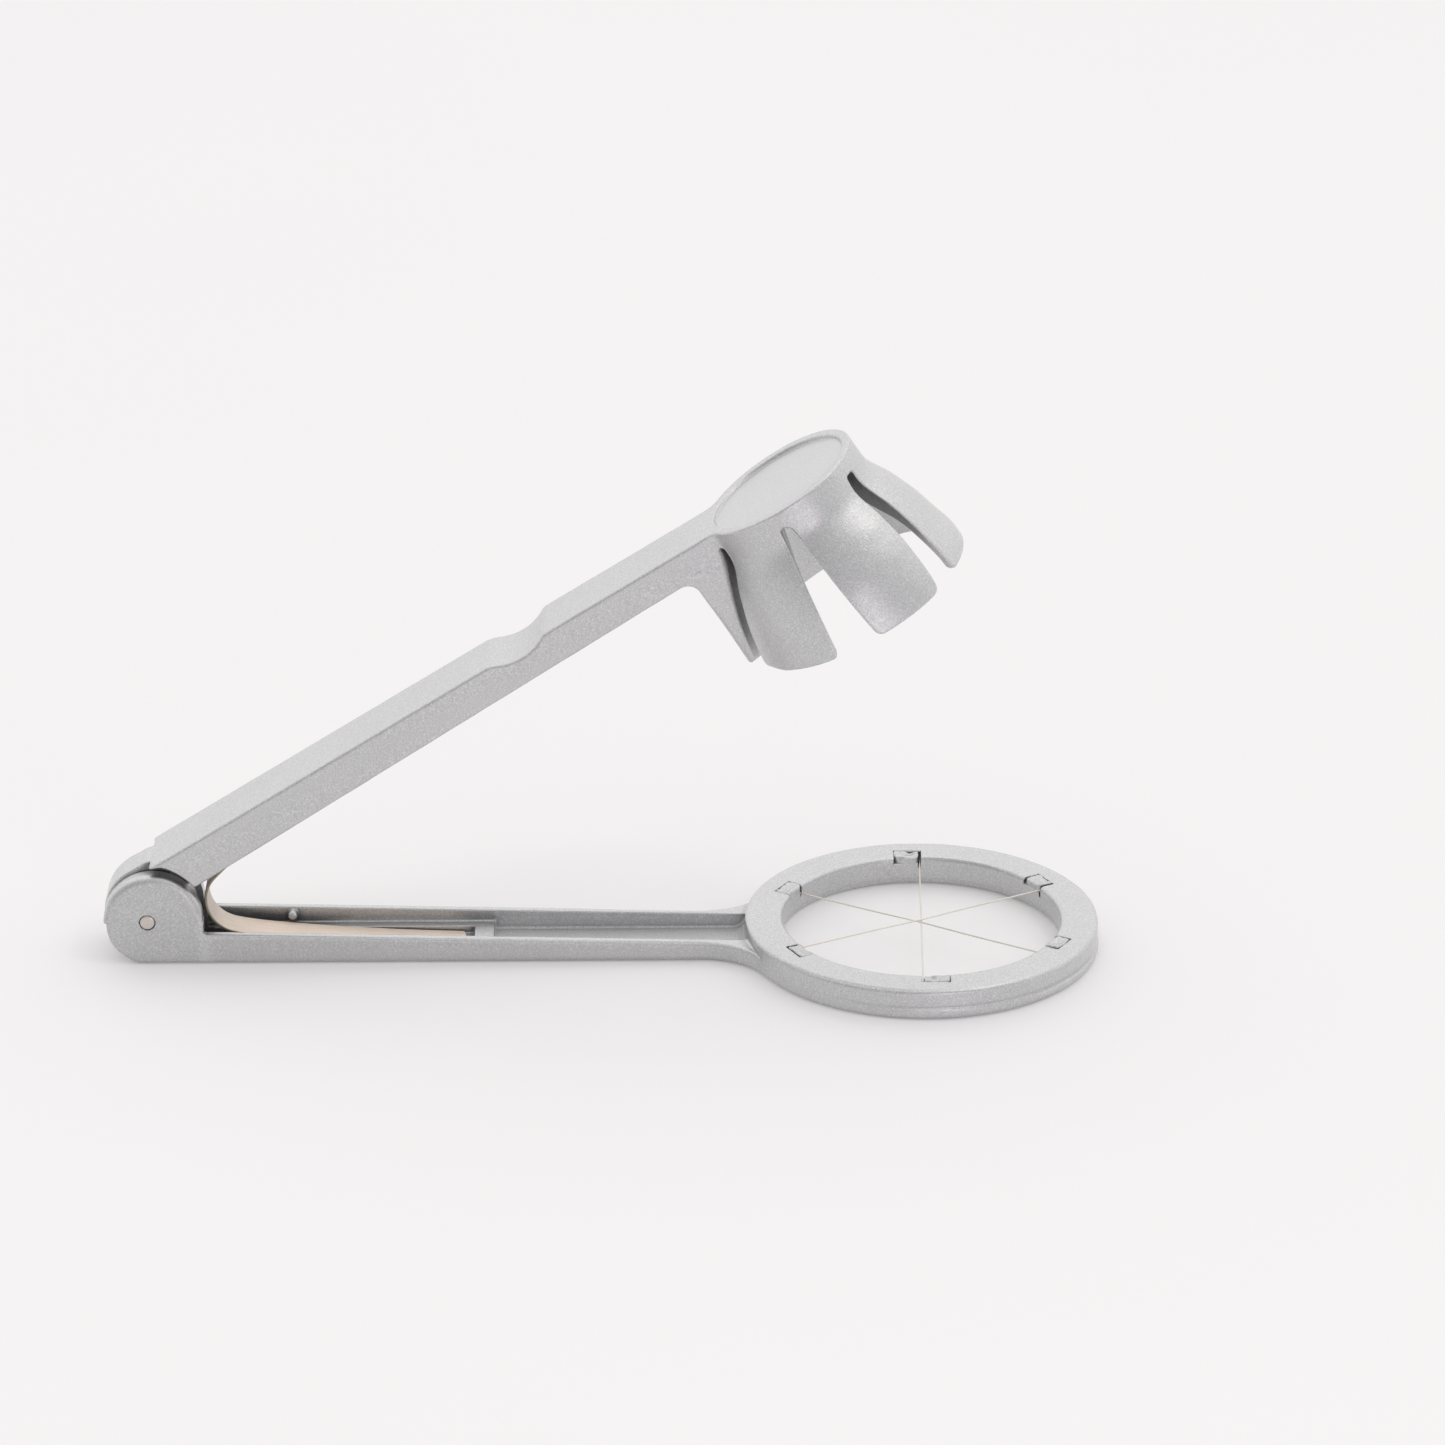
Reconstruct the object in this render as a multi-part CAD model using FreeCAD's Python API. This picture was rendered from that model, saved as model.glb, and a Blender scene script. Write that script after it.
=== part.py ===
import FreeCAD, Part
import math
import os

V = FreeCAD.Vector
os.makedirs("parts", exist_ok=True)

# Egg wedge cutter, millimetres. +X runs from the hinge to the ring, +Z up.
# The origin is on the table under the middle of the open tool.

# ---------------------------------------------------------------- dimensions
PIN_X, PIN_Z = -78.1, 7.85      # hinge axis, along Y
RING_X = 55.4                   # centre of the wire ring
OPEN_DEG = 32.3                 # the arm's rise when sprung open

# wire ring (radius, height)
RING_H = 5.47
RING_R_IN_TOP, RING_R_IN_BOT = 24.0, 24.4
RING_R_SEAM, RING_Z_SEAM = 30.75, 2.5     # widest at the mould's parting line
RING_R_TOP, RING_TOP_ROUND = 30.55, 0.8
RING_R_FLAT = 27.9                        # outer edge of the flat underside
RING_IN_ROUND = 0.4

# channel handle
HANDLE_HW = 6.9                 # half-width
WALL_T = 1.4
TOP_Z_HINGE, TOP_X_HINGE = 5.5, -68.7
TOP_Z_NECK, TOP_X_NECK = 3.5, 19.3
HANDLE_BOTTOM_ROUND = 1.4
FLOOR_Z = 0.8
LEDGE_Z = 2.2                   # step along the walls beside the spring pocket
POCKET_HW = 3.5
RIB_X0, RIB_X1 = -22.1, -18.7   # cross rib that closes the spring pocket
CHANNEL_R, CHANNEL_END_ROUND = 30.7, 2.2   # the channel runs up to the ring's wall, its floor rounded into it
NECK_X0, NECK_R = 16.9, 12.0    # concave flare from the handle into the ring
NECK_X1, NECK_Y1 = 27.7, 13.6
NUB_X, NUB_Z, NUB_D, NUB_Y = -53.8, 3.95, 1.6, 3.6   # peg on one wall, over the spring's edge

# hinge
EAR_R, EAR_DX, EAR_DZ = 8.5, 0.85, 0.05   # upper outline of the ears, off the pin
EAR_LOW_R, EAR_LOW_DX, EAR_LOW_DZ = 7.7, 0.63, -0.5   # lower outline
EAR_X1 = 9.65                   # front wall of the ears, from the pin
EAR_IN_Y = 3.55                 # inner faces
PIN_D, PIN_L = 2.7, 13.7
EAR_BORE_D = 2.74
KNUCKLE_BORE_D = 2.8
KNUCKLE_R, KNUCKLE_HW = 8.05, 3.2
KNUCKLE_R_LOW = 6.45            # relieved underneath, clear of the floor
HEEL_V = 6.72                   # flat of the open stop, below the pin at rest

# presser arm, (u along the arm, v square to it) from the pin
ARM_TOP = 8.2
ARM_HW0, ARM_HW_TAPER, ARM_DRAFT = 6.8, 0.0033, 0.045      # half-width at the top, less along u, more below
ARM_BOT_U, ARM_BOT_V, ARM_BOT_SLOPE = 18.5, 1.25, 0.01548
SHOULDER_U, SHOULDER_V, SHOULDER_R = 0.0, 0.0, 9.9   # hollow end over the ears
NOTCH_U, NOTCH_V, NOTCH_R = 81.1, 15.85, 9.25             # thumb notch
ARM_ROOF_V, ARM_CHANNEL_HW = 6.0, 4.9
ARM_CHANNEL_U0, ARM_CHANNEL_U1 = 13.0, 108.0

# crown of six fingers
CROWN_U = 133.5
CAP_R, CAP_RIM, CAP_RECESS = 14.5, 1.75, 0.5
CROWN_OUT = [(14.5, 8.2), (14.55, 5.0), (14.8, 2.35), (16.75, -1.7), (18.2, -5.2),
             (19.3, -8.6), (20.05, -12.2), (20.55, -16.1), (20.65, -20.5)]
CROWN_IN = [(5.5, 5.6), (7.6, 3.8), (10.0, 1.9), (12.6, 0.0), (13.9, -1.1), (15.9, -3.7), (17.0, -6.6),
            (17.6, -9.1), (18.3, -12.5), (18.85, -16.3), (19.05, -20.5)]
BACK_FINGER_U, BACK_FINGER_HW = 20.6, 6.6   # the finger under the arm is a flat-sided wedge
SLOT_V = 5.0
# Slots between the fingers: azimuth about the crown's axis (0 away from the hinge), then where the
# two flanks start at the slot's top and how far they spread per millimetre downwards.
SLOTS = [(30.0, -1.30, 0.0, 1.50, 0.14), (90.0, -0.90, -0.10, 1.70, 0.12), (150.0, -1.20, 0.0, 1.20, 0.1165),
         (210.0, -1.20, -0.1165, 0.2, 0.0), (270.0, -1.85, -0.12, -0.10, 0.14), (330.0, -1.50, -0.14, 0.62, 0.0)]
TIP_V, TIP_SLOPE, TIP_SLOPE_Y = -16.95, -0.07, 0.03   # plane of the finger tips

# cutting wires and their wedges
WIRE_D, WIRE_R, WIRE_STEP = 0.4, 26.7, 0.42
WIRE_Z, WIRE_AZ = 4.24, (28.4, 88.4, 148.4)
SEAT_R0, SEAT_R1 = 22.0, 26.8   # pockets in the ring
SEAT_T0, SEAT_T1, SEAT_Z = -0.24, 4.4, 3.2
WEDGE_R0, WEDGE_R1, WEDGE_T0, WEDGE_Z = 23.6, 26.6, 0.24, 5.4

# leaf spring: centre line in X, Z
SPRING_T, SPRING_HW = 0.45, 3.2
SPRING_LOW = [(-23.6, 1.15), (-31.7, 1.45), (-43.7, 1.95), (-53.9, 2.66), (-62.7, 3.95)]
SPRING_BEND_C, SPRING_BEND_R = (-62.0, 10.4), 6.2
SPRING_END_UV = (42.0, 5.6)


# ---------------------------------------------------------------- helpers
def poly(pts):
    return Part.Face(Part.makePolygon([V(*p) for p in pts] + [V(*pts[0])]))


def loop(*edges):
    return Part.Face(Part.Wire([e if isinstance(e, Part.Edge) else e.toShape() for e in edges]))


def seg(a, b):
    return Part.LineSegment(V(*a), V(*b))


def arc(a, m, b):
    return Part.Arc(V(*a), V(*m), V(*b))


def arc_mid(c, r, a0, a1):
    """Three points of an arc about c in a (p, q) plane, angles in degrees."""
    return [(c[0] + r * math.cos(math.radians(t)), c[1] + r * math.sin(math.radians(t)))
            for t in (a0, (a0 + a1) / 2.0, a1)]


def box(x0, x1, y0, y1, z0, z1):
    return Part.makeBox(x1 - x0, y1 - y0, z1 - z0, V(x0, y0, z0))


def rod_y(x, z, r, y0, y1):
    return Part.makeCylinder(r, y1 - y0, V(x, y0, z), V(0, 1, 0))


def prism_y(face, y0, y1):
    """A face drawn at Y = 0, extruded from y0 to y1."""
    f = face.copy()
    f.translate(V(0, y0, 0))
    return f.extrude(V(0, y1 - y0, 0))


def whole(shape):
    s = shape.removeSplitter()
    return s.Solids[0] if len(s.Solids) == 1 else s


def save(shape, name):
    assert shape.isValid(), name
    print("%-16s solids %d  volume %9.2f  box %s" % (
        name, len(shape.Solids), shape.Volume,
        [round(t, 2) for t in (shape.BoundBox.XMin, shape.BoundBox.XMax, shape.BoundBox.YMin,
                               shape.BoundBox.YMax, shape.BoundBox.ZMin, shape.BoundBox.ZMax)]))
    shape.exportStep("parts/" + name + ".step")


# ---------------------------------------------------------------- base frame
def ring_solid():
    r_c = RING_R_TOP - RING_TOP_ROUND
    z_c = RING_H - RING_TOP_ROUND
    # The underside's round is tangent to the table and reaches the parting line.
    dx = RING_R_SEAM - RING_R_FLAT
    rb = (dx * dx + RING_Z_SEAM ** 2) / (2.0 * RING_Z_SEAM)
    a_end = math.degrees(math.atan2(RING_Z_SEAM - rb, dx))
    low = arc_mid((RING_R_FLAT, rb), rb, -90.0, a_end)
    top = arc_mid((r_c, z_c), RING_TOP_ROUND, 0.0, 90.0)
    e = RING_IN_ROUND
    tin = arc_mid((RING_R_IN_TOP + e, RING_H - e), e, 90.0, 180.0)
    bin_ = arc_mid((RING_R_IN_BOT + e, e), e, 180.0, 270.0)
    p = lambda q: (q[0], 0, q[1])
    f = loop(arc(*map(p, low)), seg(p(low[2]), p(top[0])), arc(*map(p, top)),
             seg(p(top[2]), p(tin[0])), arc(*map(p, tin)), seg(p(tin[2]), p(bin_[0])),
             arc(*map(p, bin_)), seg(p(bin_[2]), p(low[0])))
    s = f.revolve(V(0, 0, 0), V(0, 0, 1), 360)
    s = Part.Solid(s.Shells[0]) if s.ShapeType != "Solid" else s
    if s.Volume < 0:
        s.reverse()
    s.translate(V(RING_X, 0, 0))
    return s


def handle_solid():
    """Handle and neck: one plan outline, its lower edge rounded, its top sloping to the ring."""
    h = 8.0
    x0 = PIN_X + 1.0
    w = HANDLE_HW
    # The flare's arc is tangent to the handle's side.
    cy = w + NECK_R
    a1 = math.atan2(NECK_Y1 - cy, NECK_X1 - NECK_X0)
    end = (NECK_X0 + NECK_R * math.cos(a1), cy + NECK_R * math.sin(a1))
    am = (-math.pi / 2 + a1) / 2
    mid = (NECK_X0 + NECK_R * math.cos(am), cy + NECK_R * math.sin(am))
    x2 = RING_X - 25.2
    f = loop(seg((x0, -w, 0), (NECK_X0, -w, 0)), arc((NECK_X0, -w, 0), (mid[0], -mid[1], 0), (end[0], -end[1], 0)),
             seg((end[0], -end[1], 0), (x2 + 3.0, -end[1], 0)), seg((x2 + 3.0, -end[1], 0), (x2, 0, 0)),
             seg((x2, 0, 0), (x2 + 3.0, end[1], 0)), seg((x2 + 3.0, end[1], 0), (end[0], end[1], 0)),
             arc((end[0], end[1], 0), (mid[0], mid[1], 0), (NECK_X0, w, 0)), seg((NECK_X0, w, 0), (x0, w, 0)),
             seg((x0, w, 0), (x0, -w, 0)))
    s = f.extrude(V(0, 0, h))
    edges = [e for e in s.Edges if e.BoundBox.ZMax < 1e-6 and e.BoundBox.XMin > x0 - 0.1
             and e.BoundBox.XMax < x2 and (abs(e.BoundBox.YMin) > w - 0.01 or abs(e.BoundBox.YMax) > w - 0.01)
             and e.BoundBox.XLength > 0.1 and e.BoundBox.YLength < 8.0]
    s = s.makeFillet(HANDLE_BOTTOM_ROUND, edges)
    k = (TOP_Z_NECK - TOP_Z_HINGE) / (TOP_X_NECK - TOP_X_HINGE)
    zt = lambda x: TOP_Z_HINGE + k * (x - TOP_X_HINGE)
    cut = prism_y(poly([(x0 - 5, 0, zt(x0 - 5)), (x2 + 10, 0, zt(x2 + 10)), (x2 + 10, 0, 20), (x0 - 5, 0, 20)]), -30, 30)
    return s.cut(cut), zt


def ear_solid():
    """Both ears as one block, parted later by the knuckle's slot."""
    cx, cz = PIN_X + EAR_DX, PIN_Z + EAR_DZ
    up = Part.makeCylinder(EAR_R, 2 * HANDLE_HW, V(cx, -HANDLE_HW, cz), V(0, 1, 0))
    up = up.common(box(PIN_X - 20, PIN_X + 20, -10, 10, PIN_Z - 0.4, PIN_Z + 20))
    low = Part.makeCylinder(EAR_LOW_R, 2 * HANDLE_HW, V(PIN_X + EAR_LOW_DX, -HANDLE_HW, PIN_Z + EAR_LOW_DZ), V(0, 1, 0))
    foot = box(PIN_X, PIN_X + EAR_X1, -HANDLE_HW, HANDLE_HW, 0, PIN_Z)
    return up.fuse([low, foot]).removeSplitter()


def base_frame():
    handle, zt = handle_solid()
    ring = ring_solid()
    ears = ear_solid()
    # The ears' lower edges carry the handle's round.
    trim = box(PIN_X - 20, PIN_X + EAR_X1 + 0.5, -10, 10, -1, PIN_Z)
    hb = HANDLE_BOTTOM_ROUND
    keep = loop(seg((0, -HANDLE_HW, hb), (0, -HANDLE_HW, 30)), seg((0, -HANDLE_HW, 30), (0, HANDLE_HW, 30)),
                seg((0, HANDLE_HW, 30), (0, HANDLE_HW, hb)),
                arc((0, HANDLE_HW, hb), (0, HANDLE_HW - hb * (1 - math.sqrt(0.5)), hb * (1 - math.sqrt(0.5))), (0, HANDLE_HW - hb, 0)),
                seg((0, HANDLE_HW - hb, 0), (0, -HANDLE_HW + hb, 0)),
                arc((0, -HANDLE_HW + hb, 0), (0, -HANDLE_HW + hb * (1 - math.sqrt(0.5)), hb * (1 - math.sqrt(0.5))), (0, -HANDLE_HW, hb)))
    keep = keep.extrude(V(40, 0, 0))
    keep.translate(V(PIN_X - 20, 0, 0))
    ears = ears.common(keep)
    s = handle.fuse([ears])
    # channel: wide above the ledge, a pocket for the spring, full width past the rib
    ci = HANDLE_HW - WALL_T
    wall = Part.makeCylinder(CHANNEL_R, 40, V(RING_X, 0, -10))
    chan = box(PIN_X + EAR_X1, RING_X - 20, -ci, ci, LEDGE_Z, 20).cut(wall)
    deep = box(RIB_X1, RING_X - 20, -ci, ci, FLOOR_Z, 20).cut(wall)
    ends = [e for e in deep.Edges if abs(e.BoundBox.ZMax - FLOOR_Z) < 1e-3 and e.BoundBox.XMin > RIB_X1 + 1
            and e.BoundBox.YLength > 2 * ci - 0.1]
    deep = deep.makeFillet(CHANNEL_END_ROUND, ends)
    chan = chan.cut(box(RIB_X1 + 1, RING_X, -10, 10, -5, 30))
    pocket = box(PIN_X + 3.0, RIB_X0, -POCKET_HW, POCKET_HW, FLOOR_Z, 20)
    slot = box(PIN_X - 20, PIN_X + EAR_X1 + 1, -EAR_IN_Y, EAR_IN_Y, FLOOR_Z, 40)
    s = s.cut(chan.fuse([deep, pocket, slot]))
    nub = rod_y(NUB_X, NUB_Z, NUB_D / 2, NUB_Y, HANDLE_HW - 0.5)
    bore = Part.makeCylinder(RING_R_IN_TOP + 1.5, 20, V(RING_X, 0, -5))
    s = s.cut(bore).fuse([ring, nub])
    s = s.cut(rod_y(PIN_X, PIN_Z, EAR_BORE_D / 2, -12, 12))
    for a in WIRE_AZ:
        for b in (a, a + 180.0):
            seat = box(SEAT_R0, SEAT_R1, SEAT_T0, SEAT_T1, SEAT_Z, 8)
            s = s.cut(place_ring(seat, b))
    return whole(s)


def place_ring(shape, az):
    """Moves a shape drawn at azimuth 0 about the origin to its place round the ring."""
    c = shape.copy()
    c.rotate(V(0, 0, 0), V(0, 0, 1), az)
    c.translate(V(RING_X, 0, 0))
    return c


# ---------------------------------------------------------------- presser arm
def arm_bot(u):
    return ARM_BOT_V + ARM_BOT_SLOPE * (u - ARM_BOT_U)


def arm_section(u):
    b = arm_bot(u)
    wt = ARM_HW0 - ARM_HW_TAPER * u
    wb = wt + ARM_DRAFT * (ARM_TOP - b)
    p = [V(u, -wb, b), V(u, wb, b), V(u, wt, ARM_TOP), V(u, -wt, ARM_TOP)]
    return Part.makePolygon(p + [p[0]])


def bell(profile, v_top, v_low):
    pts = [V(r, 0, v) for r, v in profile]
    c = Part.BSplineCurve()
    c.interpolate(pts)
    f = loop(c.toShape(), seg((pts[-1].x, 0, pts[-1].z), (0, 0, pts[-1].z)),
             seg((0, 0, pts[-1].z), (0, 0, pts[0].z)), seg((0, 0, pts[0].z), (pts[0].x, 0, pts[0].z)))
    s = f.revolve(V(0, 0, 0), V(0, 0, 1), 360)
    if s.ShapeType != "Solid":
        s = Part.Solid(s.Shells[0])
    if s.Volume < 0:
        s.reverse()
    s.translate(V(CROWN_U, 0, 0))
    return s


def presser_arm():
    bar = Part.makeLoft([arm_section(2.0), arm_section(CROWN_U - 8.0)], True, True)
    bar = bar.cut(rod_y(SHOULDER_U, SHOULDER_V, SHOULDER_R, -20, 20))
    bar = bar.cut(rod_y(NOTCH_U, NOTCH_V, NOTCH_R, -20, 20))
    bar = bar.cut(box(ARM_CHANNEL_U0, ARM_CHANNEL_U1, -ARM_CHANNEL_HW, ARM_CHANNEL_HW, -5, ARM_ROOF_V))
    # knuckle: a lug between the ears, flat heel below as the open stop
    full = rod_y(0, 0, KNUCKLE_R, -KNUCKLE_HW, KNUCKLE_HW)
    core = rod_y(0, 0, KNUCKLE_R_LOW, -KNUCKLE_HW, KNUCKLE_HW)
    th = math.radians(OPEN_DEG)
    a0 = math.radians(-20.0 - OPEN_DEG)     # relieved from here down, measured in the arm
    d = 30.0
    # Corner points in the arm's frame of the region left out of the lug.
    down = (-math.sin(th), -math.cos(th))   # world down, seen from the arm
    left = (-math.cos(th), math.sin(th))    # world -X, seen from the arm
    flat = (down[0] * HEEL_V, down[1] * HEEL_V)
    gone = [flat, (flat[0] + left[0] * d, flat[1] + left[1] * d),
            (flat[0] + left[0] * d + down[0] * d, flat[1] + left[1] * d + down[1] * d),
            (math.cos(a0) * d + down[0] * d, math.sin(a0) * d + down[1] * d),
            (math.cos(a0) * d, math.sin(a0) * d), (0.0, 0.0)]
    lug = full.cut(prism_y(poly([(p[0], 0, p[1]) for p in gone]), -10, 10))
    core = core.cut(prism_y(poly([(p[0], 0, p[1]) for p in
                                  [flat, (flat[0] + left[0] * d, flat[1] + left[1] * d),
                                   (flat[0] + left[0] * d + down[0] * d, flat[1] + left[1] * d + down[1] * d),
                                   (flat[0] + down[0] * d, flat[1] + down[1] * d)]]), -10, 10))
    web = prism_y(poly([(0, 0, ARM_TOP), (0, 0, 0), (7.0, 0, 0.5), (13.5, 0, 1.6), (13.5, 0, ARM_TOP)]), -KNUCKLE_HW, KNUCKLE_HW)
    # crown
    outer = bell(CROWN_OUT, ARM_TOP, 0)
    inner = bell(CROWN_IN, 0, 0)
    back = box(CROWN_U - BACK_FINGER_U, CROWN_U - 8.0, -BACK_FINGER_HW, BACK_FINGER_HW, -20.5, 6.0)
    back = back.makeFillet(0.8, [e for e in back.Edges if e.BoundBox.ZLength > 5 and e.BoundBox.XMax < CROWN_U - BACK_FINGER_U + 0.1])
    s = outer.fuse([bar, back]).cut(inner)
    # The inside of the bell reaches no lower than the tips, so the arm's end is cleared as well.
    s = s.fuse([lug, core, web])
    slots = []
    for az, l0, l1, r0, r1 in SLOTS:
        lo = -25.0
        d = SLOT_V - lo
        top = (0, (l0 + r0) / 2, SLOT_V + 0.35)
        f = loop(seg((0, l0 + l1 * d, lo), (0, r0 + r1 * d, lo)), seg((0, r0 + r1 * d, lo), (0, r0, SLOT_V)),
                 arc((0, r0, SLOT_V), top, (0, l0, SLOT_V)), seg((0, l0, SLOT_V), (0, l0 + l1 * d, lo)))
        k = f.extrude(V(30, 0, 0))
        k.translate(V(3.0, 0, 0))
        k.rotate(V(0, 0, 0), V(0, 0, 1), az)
        k.translate(V(CROWN_U, 0, 0))
        slots.append(k)
    s = s.cut(slots[0].fuse(slots[1:]))
    below = box(-30, 30, -40, 40, -25, 0)
    below.Placement = FreeCAD.Placement(V(CROWN_U, 0, TIP_V), FreeCAD.Rotation(V(0, 0, 1), V(-TIP_SLOPE, -TIP_SLOPE_Y, 1)))
    s = s.cut(below)
    s = s.cut(Part.makeCylinder(CAP_R - CAP_RIM, 3, V(CROWN_U, 0, ARM_TOP - CAP_RECESS)))
    s = s.cut(rod_y(0, 0, KNUCKLE_BORE_D / 2, -12, 12))
    s = whole(s)
    s.rotate(V(0, 0, 0), V(0, 1, 0), -OPEN_DEG)
    s.translate(V(PIN_X, 0, PIN_Z))
    return s


# ---------------------------------------------------------------- small pieces
def hinge_pin():
    s = Part.makeCylinder(PIN_D / 2, PIN_L, V(PIN_X, -PIN_L / 2, PIN_Z), V(0, 1, 0))
    return s.makeChamfer(0.15, [e for e in s.Edges if e.BoundBox.YLength < 1e-6])


def leaf_spring():
    """A flat strip: along the handle, round a bend, up into the arm's channel."""
    th = math.radians(OPEN_DEG)
    end = (PIN_X + SPRING_END_UV[0] * math.cos(th) - SPRING_END_UV[1] * math.sin(th),
           PIN_Z + SPRING_END_UV[0] * math.sin(th) + SPRING_END_UV[1] * math.cos(th))
    c, r = SPRING_BEND_C, SPRING_BEND_R
    # The bend leaves towards the arm where its tangent points at the free end.
    dx, dz = end[0] - c[0], end[1] - c[1]
    dist = math.hypot(dx, dz)
    a_out = math.atan2(dz, dx) + math.acos(r / dist)
    pts = [FreeCAD.Vector(x, 0, z) for x, z in SPRING_LOW]
    a_in = math.radians(254.0)
    n = 9
    for i in range(n + 1):
        a = a_in + (a_out - a_in) * i / n
        pts.append(V(c[0] + r * math.cos(a), 0, c[1] + r * math.sin(a)))
    last = pts[-1]
    for t in (0.25, 0.5, 0.75, 1.0):
        pts.append(V(last.x + (end[0] - last.x) * t, 0, last.z + (end[1] - last.z) * t))
    mid = Part.BSplineCurve()
    mid.interpolate(pts)
    side = ([], [])
    m = 60
    for i in range(m + 1):
        t = mid.FirstParameter + (mid.LastParameter - mid.FirstParameter) * i / m
        p = mid.value(t)
        d = mid.tangent(t)[0]
        nrm = V(-d.z, 0, d.x)
        side[0].append(p + nrm * (SPRING_T / 2))
        side[1].append(p - nrm * (SPRING_T / 2))
    a, b = Part.BSplineCurve(), Part.BSplineCurve()
    a.interpolate(side[0])
    b.interpolate(side[1])
    f = loop(a.toShape(), seg(side[0][-1], side[1][-1]), b.toShape(), seg(side[1][0], side[0][0]))
    return prism_y(f, -SPRING_HW, SPRING_HW)


def cutting_wire(i):
    z = WIRE_Z + (1 - i) * WIRE_STEP
    w = Part.makeCylinder(WIRE_D / 2, 2 * WIRE_R, V(-WIRE_R, 0, z), V(1, 0, 0))
    return place_ring(w, WIRE_AZ[i])


def wire_wedge(az):
    s = box(WEDGE_R0, WEDGE_R1, WEDGE_T0, SEAT_T1, SEAT_Z, WEDGE_Z)
    top = [e for e in s.Edges if e.BoundBox.ZMin > WEDGE_Z - 1e-6]
    s = s.makeFillet(0.3, top)
    return place_ring(s, az)


def main():
    base, arm = base_frame(), presser_arm()
    save(base, "base_frame")
    save(arm, "presser_arm")
    save(hinge_pin(), "hinge_pin")
    save(leaf_spring(), "leaf_spring")
    for i in range(3):
        save(cutting_wire(i), "cutting_wire_%d" % (i + 1))
    for k in range(6):
        save(wire_wedge(WIRE_AZ[k % 3] + (0 if k < 3 else 180.0)), "wire_wedge_%d" % (k + 1))


main()
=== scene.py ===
import math
from concurrent.futures import ThreadPoolExecutor

import bpy
import numpy as np
from mathutils import Matrix, Vector


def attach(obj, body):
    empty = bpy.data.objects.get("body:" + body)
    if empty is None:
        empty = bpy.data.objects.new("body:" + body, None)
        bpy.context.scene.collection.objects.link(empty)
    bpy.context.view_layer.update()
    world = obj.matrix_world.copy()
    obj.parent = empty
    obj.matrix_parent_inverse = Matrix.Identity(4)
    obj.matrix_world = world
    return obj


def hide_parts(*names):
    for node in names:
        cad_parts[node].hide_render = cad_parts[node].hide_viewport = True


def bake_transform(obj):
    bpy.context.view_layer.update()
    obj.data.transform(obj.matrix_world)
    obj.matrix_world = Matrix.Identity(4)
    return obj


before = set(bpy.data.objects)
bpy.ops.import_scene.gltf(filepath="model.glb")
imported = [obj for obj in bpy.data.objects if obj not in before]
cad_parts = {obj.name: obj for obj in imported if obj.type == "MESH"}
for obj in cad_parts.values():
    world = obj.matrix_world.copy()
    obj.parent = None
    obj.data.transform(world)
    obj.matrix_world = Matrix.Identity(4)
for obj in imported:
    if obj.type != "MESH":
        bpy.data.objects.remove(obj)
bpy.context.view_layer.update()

# ------------------------------------------------------------------ the part's own dimensions, millimetres
PIN_X, PIN_Z = -78.1, 7.85
RING_X = 55.4
OPEN = math.radians(32.3)
RING_H = 5.47
HANDLE_HW, CI = 6.9, 5.3
TOP_Z_HINGE, TOP_X_HINGE = 5.5, -68.7
TOP_K = (3.5 - 5.5) / (19.3 + 68.7)
FLOOR_Z, LEDGE_Z, POCKET_HW = 0.8, 2.2, 3.5
RIB_X0, RIB_X1 = -22.1, -18.7
CHANNEL_R = 30.7
NECK_R = 12.0
NUB_X, NUB_Z, NUB_R, NUB_Y = -53.8, 3.95, 0.8, 3.6
EAR_X1, EAR_IN_Y = 9.65, 3.55
KNUCKLE_R, KNUCKLE_HW, KNUCKLE_R_LOW, HEEL = 8.05, 3.2, 6.45, 6.72
ARM_TOP = 8.2
CROWN_U = 133.5
CROWN_OUT = [(14.5, 8.2), (14.55, 5.0), (14.8, 2.35), (16.75, -1.7), (18.2, -5.2),
             (19.3, -8.6), (20.05, -12.2), (20.55, -16.1), (20.65, -20.5)]
CROWN_IN = [(5.5, 5.6), (7.6, 3.8), (10.0, 1.9), (12.6, 0.0), (13.9, -1.1), (15.9, -3.7), (17.0, -6.6),
            (17.6, -9.1), (18.3, -12.5), (18.85, -16.3), (19.05, -20.5)]
SLOTS = [(30.0, -1.30, 0.0, 1.50, 0.14), (90.0, -0.90, -0.10, 1.70, 0.12), (150.0, -1.20, 0.0, 1.20, 0.1165),
         (210.0, -1.20, -0.1165, -0.45, 0.07), (270.0, -1.85, -0.12, -0.10, 0.14), (330.0, -1.50, -0.14, 0.62, 0.0)]
TIP_V, TIP_SLOPE, TIP_SLOPE_Y = -16.95, -0.07, 0.03
WIRE_AZ = (28.4, 88.4, 148.4)
WIRE_Z, WIRE_STEP = 4.24, 0.42
SPRING_LOW = [(-23.6, 1.15), (-31.7, 1.45), (-43.7, 2.15), (-53.9, 3.0), (-62.7, 4.2)]
SPRING_C, SPRING_R = (-62.0, 10.4), 6.2
SPRING_END_UV = (42.0, 5.6)
SPRING_T, SPRING_HW = 0.45, 3.2

f32 = np.float32


# ------------------------------------------------------------------ distance-field shapes
def length(a, b):
    return np.sqrt(a * a + b * b)


def rmax(a, b, r):
    """Both at once, the outer edge rounded to r."""
    return np.minimum(np.maximum(a, b), -r) + length(np.maximum(a + r, 0), np.maximum(b + r, 0))


def rmin(a, b, r):
    """Either, the inner corner filled to r."""
    return np.maximum(np.minimum(a, b), r) - length(np.maximum(r - a, 0), np.maximum(r - b, 0))


def along(x, y, ax, ay, bx, by):
    """Distance to the segment from a to b."""
    dx, dy = bx - ax, by - ay
    t = np.clip(((x - ax) * dx + (y - ay) * dy) / (dx * dx + dy * dy), 0, 1)
    return length(x - ax - t * dx, y - ay - t * dy)


def ease(t):
    t = np.clip(t, 0, 1)
    return t * t * (3 - 2 * t)


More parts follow.
